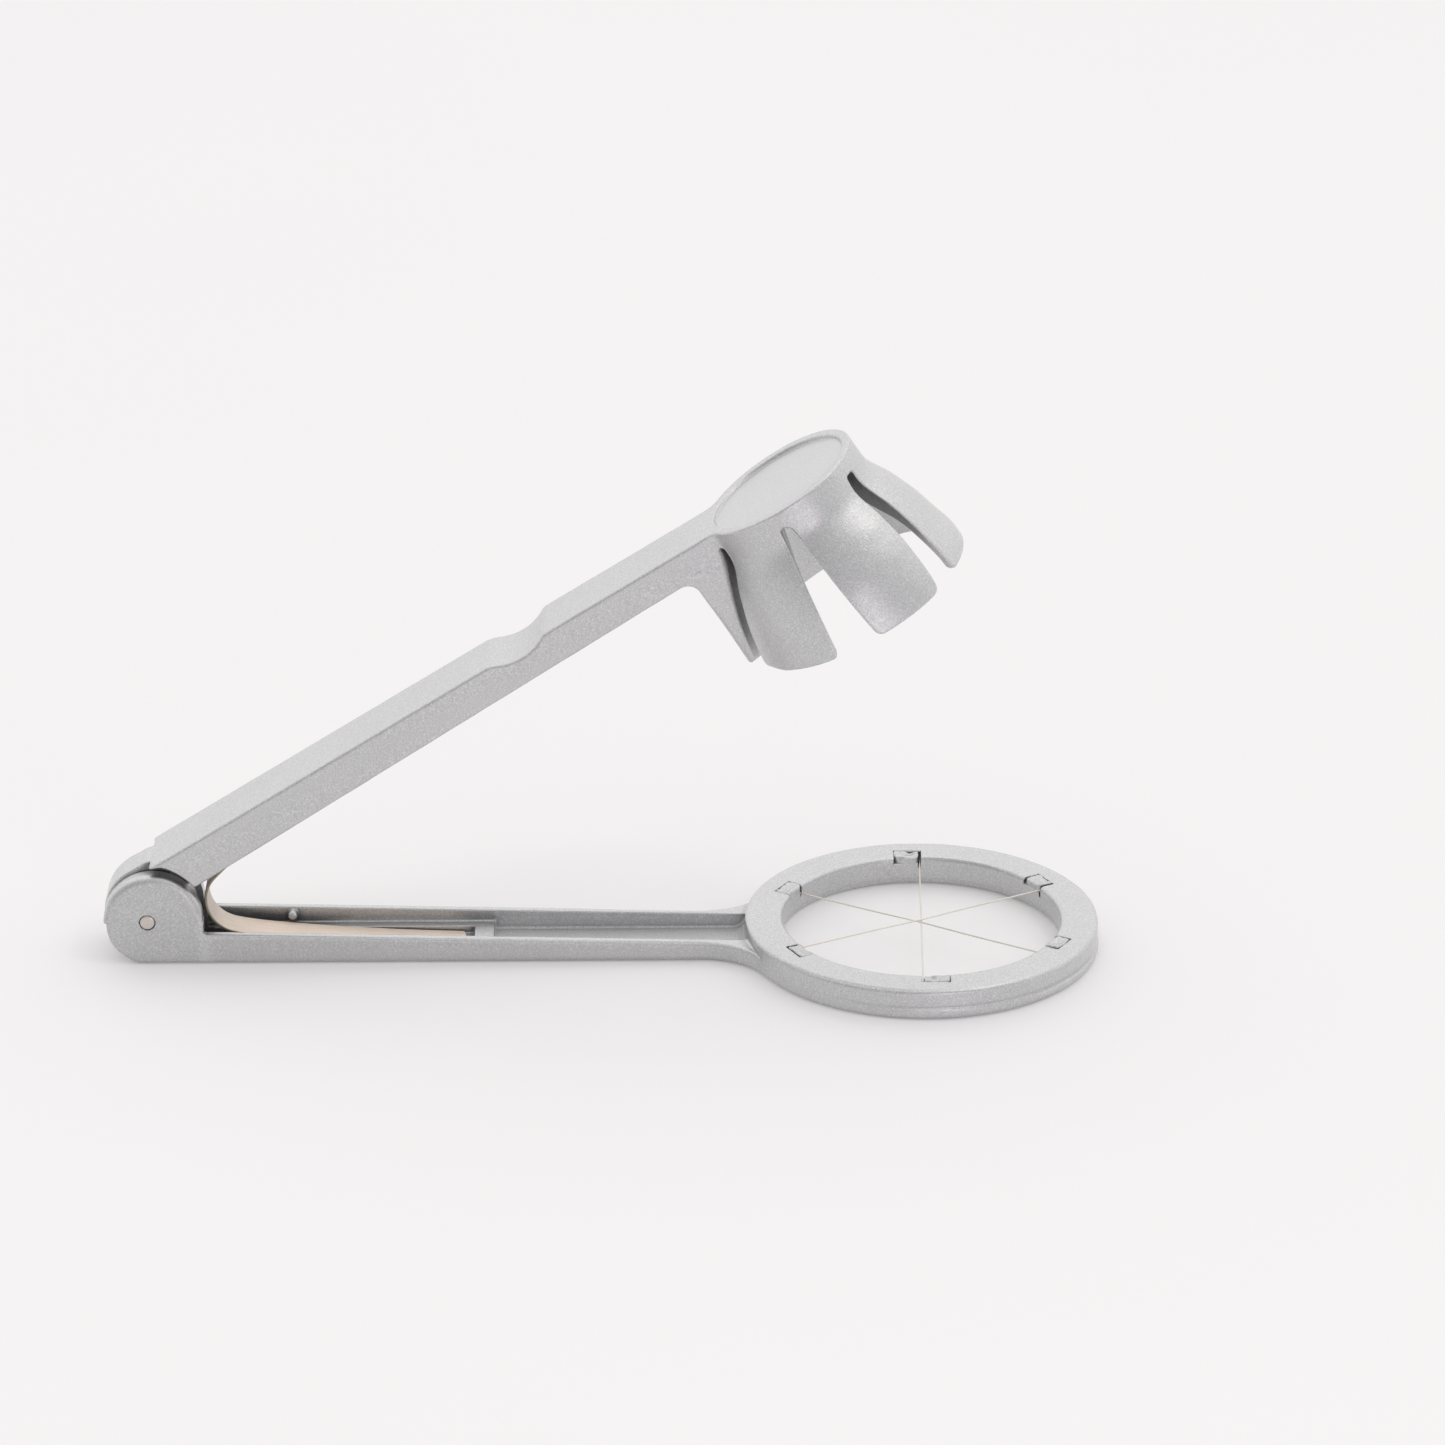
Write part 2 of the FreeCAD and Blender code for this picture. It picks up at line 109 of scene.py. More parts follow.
def spline(pts):
    """A natural cubic through (value, v), as tables over v."""
    p = sorted((v, r) for r, v in pts)
    x = np.array([q[0] for q in p], float)
    y = np.array([q[1] for q in p], float)
    n = len(x)
    h = np.diff(x)
    a = np.zeros((n, n))
    b = np.zeros(n)
    a[0, 0] = a[-1, -1] = 1
    for i in range(1, n - 1):
        a[i, i - 1:i + 2] = h[i - 1], 2 * (h[i - 1] + h[i]), h[i]
        b[i] = 6 * ((y[i + 1] - y[i]) / h[i] - (y[i] - y[i - 1]) / h[i - 1])
    m = np.linalg.solve(a, b)
    t = np.linspace(x[0], x[-1], 1600)
    i = np.clip(np.searchsorted(x, t) - 1, 0, n - 2)
    d0, d1 = t - x[i], x[i + 1] - t
    val = (m[i] * d1 ** 3 + m[i + 1] * d0 ** 3) / (6 * h[i]) + (y[i] / h[i] - m[i] * h[i] / 6) * d1 + (
        y[i + 1] / h[i] - m[i + 1] * h[i] / 6) * d0
    cos = 1 / np.sqrt(1 + np.gradient(val, t) ** 2)
    return t, val, cos


def cast_wave(x, y, z):
    """The slight unevenness of a casting."""
    return 0.008 * (np.sin(0.83 * x + 1.7 * np.sin(0.31 * y + 0.6)) + np.sin(1.07 * y + 0.9 * z + 0.37 * x + 1.1)
                    + np.sin(1.21 * z - 0.61 * x + 0.45 * y + 2.3))


NECK_CX = RING_X - math.sqrt((CHANNEL_R + NECK_R) ** 2 - (HANDLE_HW + NECK_R) ** 2)
NECK_CY = HANDLE_HW + NECK_R
NECK_BX = (RING_X - NECK_CX) / (CHANNEL_R + NECK_R)
NECK_BY = -NECK_CY / (CHANNEL_R + NECK_R)
# each wedge pocket's own size: outer wall, both ends
POCKETS = np.array([(26.80, -0.22, 4.62), (26.86, -0.20, 4.56), (26.82, -0.24, 4.58),
                    (26.88, -0.20, 4.60), (26.80, -0.24, 4.54), (26.86, -0.20, 4.64)], f32)


def base_field(x, y, z):
    ay = np.abs(y)
    dx = x - f32(RING_X)
    rr = length(dx, y)
    wave = cast_wave(x, y, z)
    # ring, its upper half standing a little proud of the lower at the parting line
    outer = rr - (30.58 + 0.13 * ease((z - 2.25) / 0.45) - 0.045 * np.maximum(z - 2.6, 0))
    ring = rmax(rmax(outer + wave, z - RING_H + 0.5 * wave, 0.8), -z, 2.6)
    inner = (24.40 - 0.06 * z - 0.09 * ease((z - 1.05) / 0.45)) - rr
    ring = rmax(ring, inner + wave, 1.0 - 0.5 * ease((z - 0.6) / 1.2) + 0.35 * ease((z - 2.8) / 1.4))
    # handle and flared neck in plan
    qx, qy = x - f32(NECK_CX), ay - f32(NECK_CY)
    cone = (qx > 0) & (qx * NECK_BY - qy * NECK_BX > 0)
    plan = np.where(cone, NECK_R - length(qx, qy), np.minimum(np.maximum(ay - HANDLE_HW, dx), rr - 30.66))
    # side view: sloping wall tops and the ears, whose upper half is a little larger than the lower
    ex, ez = x - f32(PIN_X), z - f32(PIN_Z)
    zt = TOP_Z_HINGE + TOP_K * (x - TOP_X_HINGE)
    k = np.maximum(ease((ez + 0.17) / 0.10), ease(ex / 2.0))
    disc = length(ex - (0.63 + 0.32 * k), ez + 0.5 - 0.5 * k) - (7.7 + 0.8 * k - 0.35 * ease(y / 2.0))
    foot = np.maximum(np.maximum(-ex, ex - EAR_X1), ez)
    ear = np.minimum(disc, foot)
    side = np.maximum(rmin(np.maximum(z - zt, -ex), ear, 0.35), -z)
    r_top = 0.6 + 0.35 * ease((x + 10) / 20) - 0.35 * ease((x - 15) / 6)
    r_ear = 0.45 + 0.85 * ease((ez + 0.4) / 2.2)
    r_edge = r_top + (r_ear - r_top) * ease((10.6 - ex) / 1.0)
    r_edge = 1.1 + (r_edge - 1.1) * ease((z - 0.8) / 3.0)
    # faint parting line across the ear's face
    part = 0.05 * (1 - ease((ez + 0.32) / 0.3)) * ease((9.0 - ex) / 1.5)
    body = rmax(side, plan + wave + part - 0.05 * np.maximum(3.5 - z, 0), r_edge)
    body = np.maximum(body, 26.0 - rr)
    both = rmin(body, ring, 0.02 + 0.5 * ease((10.5 - ay) / 2.5))
    solid = np.maximum(both, -z)
    # channel, spring pocket, rib and the slot between the ears
    run = rmax(rmax(FLOOR_Z - z, CHANNEL_R - rr, 2.4), ay - CI, 0.45)
    deep = rmax(run, RIB_X1 - x, 0.35)
    ledge = rmax(rmax(rmax(ay - CI, LEDGE_Z - z, 0.4), (PIN_X + EAR_X1) - x, 0.3), CHANNEL_R - rr, 0.4)
    pocket = rmax(rmax(ay - POCKET_HW, FLOOR_Z - z, 0.25), rmax(x - RIB_X0, -(ex - 3.0), 0.3), 0.3)
    slot = np.maximum(rmax(ay - EAR_IN_Y, FLOOR_Z - z, 0.3), ex - (EAR_X1 + 1.0))
    cut = np.minimum(np.minimum(deep, ledge), np.minimum(pocket, slot))
    solid = rmax(solid, -(cut + wave), 0.28)
    # peg on the far wall that holds the spring down
    nub = rmax(length(x - f32(NUB_X), z - f32(NUB_Z)) - NUB_R, NUB_Y - y, 0.4)
    nub = np.maximum(nub, y - 6.2)
    solid = rmin(solid, nub, 0.25)
    # bore for the pin
    solid = rmax(solid, 1.343 - length(ex, ez), 0.05)
    # pockets of the six wire wedges
    phi = np.arctan2(y, dx) - f32(math.radians(WIRE_AZ[0]))
    k = np.round(phi / f32(math.pi / 3))
    phi = phi - k * f32(math.pi / 3)
    kk = k.astype(np.int32) % 6
    pr, pt = rr * np.cos(phi), rr * np.sin(phi)
    seat = np.maximum(np.maximum(pr - POCKETS[kk, 0], 21.0 - pr),
                      np.maximum(np.maximum(POCKETS[kk, 1] - pt, pt - POCKETS[kk, 2]), 4.3 - z))
    seat = np.minimum(seat, np.maximum(np.maximum(pr - 26.75, 21.0 - pr), np.maximum(np.abs(pt) - 0.19, 3.35 - z)))
    return rmax(solid, -(seat + 2.0 * wave), 0.10)


OUT_V, OUT_R, OUT_C = spline(CROWN_OUT)
IN_V, IN_R, IN_C = spline(CROWN_IN)
SLOT_P = np.array([s[1:] for s in SLOTS], f32)
SLOT_MOST = np.array([9.0, 9.0, 9.0, 0.2, 9.0, 9.0], f32)
SLOT_ROUND = np.array([0.5, 0.5, 0.5, 0.6, 1.2, 0.5], f32)   # right upper corner of each slot


def slot_gap(du, y, v):
    """Distance into the six slots of the bell, negative inside."""
    rc = length(du, y)
    az = np.arctan2(y, du) - f32(math.radians(30.0))
    k = np.round(az / f32(math.pi / 3))
    az = az - k * f32(math.pi / 3)
    kk = k.astype(np.int32) % 6
    t = rc * np.sin(az)
    rho = rc * np.cos(az)
    p = SLOT_P[kk]
    d = 5.0 - v
    left = (p[:, 0] + p[:, 1] * d - t) / np.sqrt(1 + p[:, 1] ** 2)
    right = (t - np.minimum(p[:, 2] + p[:, 3] * d, SLOT_MOST[kk])) / np.sqrt(1 + p[:, 3] ** 2)
    return np.maximum(np.maximum(rmax(left, v - 5.2, 0.4), rmax(right, v - 5.2, SLOT_ROUND[kk])), 6.0 - rho)


def arm_field(u, y, v):
    ay = np.abs(y)
    wave = cast_wave(u + 31.0, y, v)
    vd = np.maximum(v, 1.5)
    hw = 6.8 - 0.0033 * u + 0.045 * (8.2 - vd)
    side = ay - hw
    du = u - f32(CROWN_U)
    # underside of the bar and back of the finger below it, with the fillet between them
    prof = rmin((1.25 + 0.01548 * (u - 18.5)) - v, -(du + 20.6), 2.45)
    r_side = 0.4 + 0.9 * ease((-v - 1.0) / 6.0)
    body = rmax(prof, side, r_side)
    body = np.maximum(body, du + 7.0)
    shoulder = 10.55 - ease((np.arctan2(v, u) - 0.70) / 0.36) - length(u, v)
    body = rmax(body, shoulder, 0.6)
    body = rmax(body, 4.9 - u, 0.25)
    # bell
    rc = length(du, y)
    # the side away from the hinge stands a little further in
    shy = 0.55 * np.clip(du / np.maximum(rc, 0.1), 0, 1) ** 3 * ease((v + 16.0) / 6.0)
    ro = np.interp(v, OUT_V, OUT_R).astype(f32) - shy
    co = np.interp(v, OUT_V, OUT_C).astype(f32)
    bell = (rc - ro) * co
    whole = rmin(body, bell, 1.3)
    notch = 9.25 - length(u - 81.1, v - 15.85)
    top = rmax(v - ARM_TOP, notch, 0.35 + 0.35 * ease((81.1 - u) / 4.0))
    r_top = 0.55 - 0.15 * ease((du + 18) / 6)
    whole = rmax(whole + wave, top + 0.6 * wave, r_top)
    # knuckle between the ears
    th_c, th_s = f32(math.cos(OPEN)), f32(math.sin(OPEN))
    wx, wz = u * th_c - v * th_s, u * th_s + v * th_c
    rk = length(u, v)
    a = math.radians(20.0)
    relief = np.where(wx < 0, -wz - HEEL, -(wz * math.cos(a) + wx * math.sin(a)))
    round_top = np.maximum(length(u - 1.33, v + 0.32) - 8.87, rk - (KNUCKLE_R + 0.45 * ease((v - 4.0) / 3.0)))
    lug = np.minimum(np.maximum(round_top, relief), rk - KNUCKLE_R_LOW)
    web = np.maximum(np.maximum(0.6 - u, u - 13.5), np.maximum(v - (ARM_TOP + 0.27 - 0.32 * ease((u - 4.8) / 1.4)), 0.11 * u - v))
    knuckle = rmax(rmin(lug, web, 0.2), ay - KNUCKLE_HW, 0.3)
    # channel under the bar
    chan = rmax(rmax(ay - 4.9, v - 6.0, 0.9), rmax(13.0 - u, u - 108.0, 1.0), 0.5)
    whole = rmax(whole, -chan, 0.3)
    whole = rmin(whole, knuckle, 0.25)
    whole = rmax(whole, 1.42 - rk, 0.1)
    # inside of the bell
    ri = np.interp(v, IN_V, IN_R).astype(f32) - shy
    ri = ri + np.clip(du / np.maximum(rc, 0.1), 0, 1) ** 3 * (0.5 * ease((-6.0 - v) / 6.0) - 2.0 * np.exp(-((v + 2.5) / 3.5) ** 2))
    ri = ri - 0.8 * ease((-du / np.maximum(rc, 0.1) - 0.6) / 0.3) * ease((v + 17.0) / 5.0)
    ci = np.interp(v, IN_V, IN_C).astype(f32)
    cavity = rmax((rc - ri) * ci, v - 5.6, 1.2)
    shell = rmax(whole, -cavity, 0.45)
    # slots between the fingers and the slanting tips
    gap = slot_gap(du, y, v)
    tip = (TIP_V + TIP_SLOPE * du + TIP_SLOPE_Y * y + 0.4 * ease((du - 12) / 6) + 0.5 * ease((-du - 14) / 3)
           - 0.3 * ease((-y - 10) / 5) * ease((-du - 2) / 5)) - v
    plan = rmax(-gap, tip, 1.3 - 0.5 * ease((-y - 10) / 5) * ease((-du - 2) / 5))
    crown = rmax(shell, plan, 0.42)
    # a seam left by the mould and a small pit
    crown = crown + 0.05 * np.exp(-(np.minimum(along(u, v, 113.96, 3.76, 116.57, 3.54), along(u, v, 116.57, 3.54, 117.15, 4.12))
                                    / 0.11) ** 2) * (y < 0)
    w = np.clip(((u - 142.7) * 2.0 + (y + 11.27) * 1.96) / 7.84, 0, 1)
    seam = length(length(u - 142.7 - 2.0 * w, y + 11.27 - 1.96 * w), v - 5.2)
    crown = crown + 0.06 * np.exp(-(seam / 0.16) ** 2)
    pit = length(length(u - 142.85, y + 10.93), v - 7.4)
    crown = crown + 0.12 * np.exp(-(pit / 0.25) ** 2)
    # shallow dish in the cap
    dish = rmax((length(u - 133.2, y) - (12.45 + 0.5 * (v - 7.6))) * 0.9, 7.6 - v, 0.10)
    return rmax(crown, -dish, 0.22)


# ------------------------------------------------------------------ meshing a field
POOL = ThreadPoolExecutor(4)


def field_at(f, p):
    n = len(p)
    out = np.empty(n, f32)
    step = 120000

    def run(a):
        q = p[a:a + step]
        out[a:a + step] = f(q[:, 0], q[:, 1], q[:, 2])

    list(POOL.map(run, range(0, n, step)))
    return out


def gradient(f, p, e=0.03):
    g = np.empty_like(p)
    for i in range(3):
        o = np.zeros(3, f32)
        o[i] = e
        g[:, i] = (field_at(f, p + o) - field_at(f, p - o)) / (2 * e)
    return g


def settle(f, p, rounds, cap):
    """Moves points onto the surface."""
    for _ in range(rounds):
        g = gradient(f, p)
        s = field_at(f, p) / np.maximum((g * g).sum(1), 0.05)
        step = g * s[:, None]
        ln = np.sqrt((step * step).sum(1))
        p = p - step * np.minimum(1, cap / np.maximum(ln, 1e-9))[:, None]
    return p


def surface(f, lo, hi, h):
    """Vertices and quads of the field's zero surface on a grid of pitch h."""
    bs = 8
    lo = np.array(lo, f32)
    nb = np.ceil((np.array(hi) - lo) / (h * bs)).astype(int)
    n = nb * bs
    ax = [lo[i] + h * (bs * np.arange(nb[i]) + (bs - 1) / 2) for i in range(3)]
    c = np.stack(np.meshgrid(*ax, indexing="ij"), -1).reshape(-1, 3).astype(f32)
    d = field_at(f, c)
    near = np.flatnonzero(np.abs(d) < (h * bs / 2) * 1.7321 * 1.2 + 0.25)
    g = np.empty(n, f32)
    gv = g.reshape(nb[0], bs, nb[1], bs, nb[2], bs).transpose(0, 2, 4, 1, 3, 5)
    gv[...] = np.where(d > 0, f32(1), f32(-1)).reshape(*nb, 1, 1, 1)
    o = np.stack(np.meshgrid(*[np.arange(bs)] * 3, indexing="ij"), -1).reshape(-1, 3)
    ids = np.stack(np.unravel_index(near, nb), -1)
    for a in range(0, len(ids), 3000):
        b = ids[a:a + 3000]
        p = lo + h * (b[:, None, :] * bs + o[None]).reshape(-1, 3)
        gv[b[:, 0], b[:, 1], b[:, 2]] = field_at(f, p.astype(f32)).reshape(-1, bs, bs, bs)
    s = g < 0
    q = np.zeros(n - 1, np.int8)
    for i in (0, 1):
        for j in (0, 1):
            for k in (0, 1):
                q += s[i:n[0] - 1 + i, j:n[1] - 1 + j, k:n[2] - 1 + k]
    cells = np.argwhere((q > 0) & (q < 8)).astype(np.int32)
    vid = np.full(n - 1, -1, np.int32)
    vid[cells[:, 0], cells[:, 1], cells[:, 2]] = np.arange(len(cells))
    corner = [(i, j, k) for i in (0, 1) for j in (0, 1) for k in (0, 1)]
    val = [g[cells[:, 0] + i, cells[:, 1] + j, cells[:, 2] + k] for i, j, k in corner]
    pos = np.zeros((len(cells), 3), f32)
    cnt = np.zeros(len(cells), f32)
    for a in range(8):
        for b in range(a + 1, 8):
            if sum(abs(m - w) for m, w in zip(corner[a], corner[b])) != 1:
                continue
            hit = (val[a] < 0) != (val[b] < 0)
            t = np.where(hit, val[a] / np.where(hit, val[a] - val[b], 1), 0)
            e = np.array(corner[a], f32) + t[:, None] * (np.array(corner[b], f32) - np.array(corner[a], f32))
            pos += np.where(hit[:, None], e, 0)
            cnt += hit
    verts = lo + h * (cells + pos / cnt[:, None])
    quads = []
    core = slice(1, -1)
    for axis in range(3):
        a = [core] * 3
        b = [core] * 3
        a[axis], b[axis] = slice(0, -1), slice(1, None)
        i, j, k = np.nonzero(s[tuple(a)] != s[tuple(b)])
        ii = [i, j, k]
        for m in range(3):
            if m != axis:
                ii[m] = ii[m] + 1
        i, j, k = ii
        if axis == 0:
            w = [vid[i, j - 1, k - 1], vid[i, j, k - 1], vid[i, j, k], vid[i, j - 1, k]]
        elif axis == 1:
            w = [vid[i - 1, j, k - 1], vid[i - 1, j, k], vid[i, j, k], vid[i, j, k - 1]]
        else:
            w = [vid[i - 1, j - 1, k], vid[i, j - 1, k], vid[i, j, k], vid[i - 1, j, k]]
        w = np.stack(w, -1)
        inside = s[i, j, k]
        quads.append(np.where(inside[:, None], w, w[:, ::-1]))
    return verts.astype(f32), np.concatenate(quads)


def relax(verts, quads, f, h, rounds=2):
    for _ in range(rounds):
        acc = np.zeros((len(verts), 3))
        cnt = np.zeros(len(verts))
        for a in range(4):
            i, j = quads[:, a], quads[:, (a + 1) % 4]
            for m, w in ((i, j), (j, i)):
                for c in range(3):
                    acc[:, c] += np.bincount(m, verts[w, c], len(verts))
                cnt += np.bincount(m, minlength=len(verts))
        verts = (0.5 * verts + 0.5 * acc / np.maximum(cnt, 1)[:, None]).astype(f32)
        verts = settle(f, verts, 1, 0.5 * h)
    return verts


def raw_mesh(name, verts, faces):
    m = bpy.data.meshes.new(name)
    n = faces.shape[1]
    m.vertices.add(len(verts))
    m.vertices.foreach_set("co", np.ascontiguousarray(verts, f32).ravel())
    m.loops.add(faces.size)
    m.loops.foreach_set("vertex_index", np.ascontiguousarray(faces, np.int32).ravel())
    m.polygons.add(len(faces))
    m.polygons.foreach_set("loop_start", np.arange(0, faces.size, n, dtype=np.int32))
    m.update(calc_edges=True)
    m.validate()
    return m


def new_object(name, mesh):
    o = bpy.data.objects.new(name, mesh)
    bpy.context.scene.collection.objects.link(o)
    return o


def thin_out(mesh, tris):
    """Fewer triangles where the surface is plain."""
    o = new_object("work", mesh)
    have = len(mesh.polygons) * 2
    if have > tris:
        d = o.modifiers.new("d", "DECIMATE")
        d.ratio = tris / have
        d.use_collapse_triangulate = True
    dg = bpy.context.evaluated_depsgraph_get()
    out = bpy.data.meshes.new_from_object(o.evaluated_get(dg), depsgraph=dg)
    bpy.data.objects.remove(o)
    bpy.data.meshes.remove(mesh)
    return out


def smooth(mesh):
    mesh.polygons.foreach_set("use_smooth", np.ones(len(mesh.polygons), bool))


def coords(mesh):
    p = np.zeros(len(mesh.vertices) * 3, f32)
    mesh.vertices.foreach_get("co", p)
    return p.reshape(-1, 3)


def openness(f, p, g):
    """How open the surface is to its surroundings: 0 deep in a slot, 1 on a free face."""
    s = np.zeros(len(p), f32)
    for d in (0.8, 1.6, 3.0, 5.0):
        s += 0.25 * np.clip(field_at(f, (p + g * f32(d)).astype(f32)) / d, 0, 1)
    return s


def arm_shade(p):
    """Tone factors, painted shade and painted light: darker on the slots' flanks and the hollow end over the ears,
    lighter on the knuckle's sides.
    """
    u, y, v = p[:, 0], p[:, 1], p[:, 2]
    du = u - f32(CROWN_U)
    gap = slot_gap(du, y, v)
    ro = np.interp(v, OUT_V, OUT_R)
    within = np.where(du < -9.0, 1.0, ease((ro - length(du, y) - 0.3) / 0.7))
    flank = np.exp(-(gap / 0.25) ** 2) * within * ease((v + 15.0) / 9.0) * (v < 5.6) * (u > 105)
    arc = np.exp(-((length(u, v) - 10.1) / 0.7) ** 2) * ease((6.3 - np.abs(y)) / 0.5) * (u > 3) * (v > 0.3) * (v < 8.0)
    side = (np.abs(np.abs(y) - 3.2) < 0.3) * ease((length(u, v) - 8.2) / 0.4) * (u > 3) * (v > 2.5) * (u < 14)
    return (1 - 0.62 * flank) * (1 - 0.7 * arc) * (1 + 0.35 * side)


def base_shade(p):
    """Tone factors, painted shade and painted light: darker in the spring's pocket, between the ears, on the ears'
    outer faces, high on the channel's inner walls and on the outer sides; lighter on the front lips of the ears' inner
    faces and along the channel's foot.
    """
    x, y, z = p[:, 0], p[:, 1], p[:, 2]
    ay = np.abs(y)
    zt = TOP_Z_HINGE + TOP_K * (x - TOP_X_HINGE)
    pocket = ease((-44.0 - x) / 16.0) * (ay < 5.7) * ease((zt - 0.4 - z) / 0.8) * (x > -69.0)
    ears = (x <= -69.0) * (ay < 3.9) * ease((15.0 - z) / 2.0) * ease((-70.0 - x) / 1.0)
    lip = (ay > 3.2) * (ay < 3.9) * ease((x + 70.8) / 0.8) * (x < -68.6) * ease((z - 4.0) / 2.0)
    cheeks = 0.28 * ease((ay - 6.2) / 0.4) * ease((-68.0 - x) / 2.0)
    run = (ay < 6.0) * ease((x + 50.0) / 6.0) * (x < 30.0)
    foot = run * ease((3.2 - z) / 0.6) * (z > 0.4)
    wall = run * (ay > 5.0) * ease((z - 2.6) / 0.6) * ease((zt - 0.2 - z) / 0.3)
    walls = 0.32 * ease((ay - 6.2) / 0.4) * ease((30.0 - x) / 10.0) * ease((x + 70.0) / 4.0) * ease((zt - 0.3 - z) / 0.5)
    return (1 - 0.36 * pocket) * (1 - 0.5 * ears) * (1 + 2.0 * lip) * (1 - cheeks) * (1 + 0.5 * foot) * (1 - 0.2 * wall) * (1 - walls)


def solid_from(name, f, lo, hi, h, tris, place, shade=None):
    """A closed mesh of the field, in metres in the part's frame. place maps points (or directions) to that frame."""
    verts, quads = surface(f, lo, hi, h)
    verts = settle(f, verts, 2, 0.6 * h)
    verts = relax(verts, quads, f, h)
    mesh = thin_out(raw_mesh(name, verts, quads), tris)
    p = settle(f, coords(mesh), 2, 0.3 * h)
    g = gradient(f, p)
    g /= np.maximum(np.sqrt((g * g).sum(1)), 1e-6)[:, None]
    mesh.vertices.foreach_set("co", (place(p, False) / 1000.0).astype(f32).ravel())
    mesh.update()
    smooth(mesh)
    mesh.normals_split_custom_set_from_vertices(place(g, True).astype(float).tolist())
    mesh.name = name
    # the 'open' attribute carries painted shade for the lacquer: computed occlusion, times the painted shade and
    # painted light of shade
    painted_shade_open = openness(f, p, g.astype(f32))
    if shade:
        painted_shade_open = np.clip(painted_shade_open * shade(p), 0.0, 1.0)
    mesh.attributes.new("open", "FLOAT", "POINT").data.foreach_set("value", painted_shade_open.astype(f32))
    print(name, "triangles", len(mesh.polygons))
    return new_object(name, mesh)


def stay(p, direction):
    return p


def lift(p, direction):
    """From the arm's own axes to the part's frame."""
    c, s = math.cos(OPEN), math.sin(OPEN)
    q = np.stack([p[:, 0] * c - p[:, 2] * s, p[:, 1], p[:, 0] * s + p[:, 2] * c], -1)
    return q if direction else q + np.array([PIN_X, 0, PIN_Z])


base = solid_from("base_casting", base_field, (-87.4, -32.0, -0.9), (87.6, 32.0, 17.4), 0.23, 150000, stay, base_shade)
arm = solid_from("arm_casting", arm_field, (-9.2, -22.2, -20.4), (155.6, 22.2, 9.6), 0.23, 150000, lift, arm_shade)


# ------------------------------------------------------------------ small pieces
def ring_place(az):
    c, s = math.cos(math.radians(az)), math.sin(math.radians(az))

    def place(p, direction):
        q = np.stack([p[:, 0] * c - p[:, 1] * s, p[:, 0] * s + p[:, 1] * c, p[:, 2]], -1)
        return q if direction else q + np.array([RING_X, 0, 0])

    return place


def wedge_field(seed):
    rng = np.random.RandomState(100 + seed)
    ph = rng.uniform(0, 6.28, 9)
    r1, t0, t1 = 26.74 + rng.uniform(-0.08, 0.04), 0.12 + rng.uniform(0, 0.06), 4.52 + rng.uniform(-0.06, 0.05)
    tilt = rng.uniform(-0.05, 0.05, 2)
    dent = [(rng.uniform(24.2, 26.2), rng.uniform(0.8, 3.8), rng.uniform(0.5, 1.0), rng.uniform(0.10, 0.26)) for _ in range(6)]

    def f(r, t, z):
        n = 0.05 * (np.sin(1.9 * r + ph[0]) * np.sin(1.7 * t + ph[1]) + np.sin(3.7 * t + 1.3 * z + ph[2])
                    + 0.6 * np.sin(5.1 * r + 2.2 * t + ph[3]))
        zt = 5.60 + tilt[0] * (r - 25.2) + tilt[1] * (t - 2.3)
        for a, b, w, d in dent:
            zt = zt - d * np.exp(-((r - a) ** 2 + (t - b) ** 2) / (w * w))
        pl = rmax(r - r1, rmax(t - t1, t0 - t, 0.25), 0.25) + n
        pl = rmax(rmax(pl, z - zt + 0.5 * n, 0.32), 24.0 - r + 0.6 * n, 0.65)   # follows the ring's inner edge
        return np.maximum(pl, 4.22 - z)

    return f


wedges = []
for k in range(6):
    az = WIRE_AZ[k % 3] + (0 if k < 3 else 180.0)
    w = solid_from("wedge_%d" % (k + 1), wedge_field(k), (23.2, -0.6, 3.8), (27.4, 5.2, 6.0), 0.10, 9000, ring_place(az))
    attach(w, "base")
    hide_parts("wire_wedge_%d" % (k + 1))
    wedges.append(w)


def tube(name, pts, r, sides=12):
    """A round wire along points, metres, with closed ends."""
    pts = np.array(pts, float)
    tan = np.gradient(pts, axis=0)
    tan /= np.linalg.norm(tan, axis=1)[:, None]
    up = np.array([0.0, 0.0, 1.0])
    rings = []
    for p, t in zip(pts, tan):
        a = np.cross(t, up)
        a /= np.linalg.norm(a)
        b = np.cross(a, t)
        ang = np.linspace(0, 2 * math.pi, sides, endpoint=False)
        rings.append(p + r * (np.cos(ang)[:, None] * a + np.sin(ang)[:, None] * b))
    v = np.concatenate(rings + [pts[:1], pts[-1:]])
    n = len(pts)
    faces = []
    for i in range(n - 1):
        for j in range(sides):
            k = (j + 1) % sides
            faces.append((i * sides + j, i * sides + k, (i + 1) * sides + k, (i + 1) * sides + j))
    for j in range(sides):
        k = (j + 1) % sides
        faces.append((n * sides, k, j))
        faces.append((n * sides + 1, (n - 1) * sides + j, (n - 1) * sides + k))
    m = bpy.data.meshes.new(name)
    m.from_pydata(v.tolist(), [], faces)
    m.update()
    smooth(m)
    return new_object(name, m)


wires = []
for i in range(3):
    z = WIRE_Z + (1 - i) * WIRE_STEP
    a = math.radians(WIRE_AZ[i])
    pts = []
    for s in np.linspace(-26.6, 26.6, 61):
        # all three are drawn tight through one point, so they bow a hair towards each other there
        dip = (WIRE_Z - z) * 0.35 * math.exp(-(s / 7.0) ** 2)
        end = max(0.0, abs(s) - 24.6)
        side = 0.09 * math.sin(s * 0.9 + i) * (1 if abs(s) > 24 else 0.0)
        pts.append(((RING_X + s * math.cos(a) - side * math.sin(a)) / 1000, (s * math.sin(a) + side * math.cos(a)) / 1000,
                    (z + dip - 0.10 * end ** 1.5 * 0.35) / 1000))
    w = tube("wire_%d" % (i + 1), pts, 0.135 / 1000)
    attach(w, "base")
    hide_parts("cutting_wire_%d" % (i + 1))
    wires.append(w)


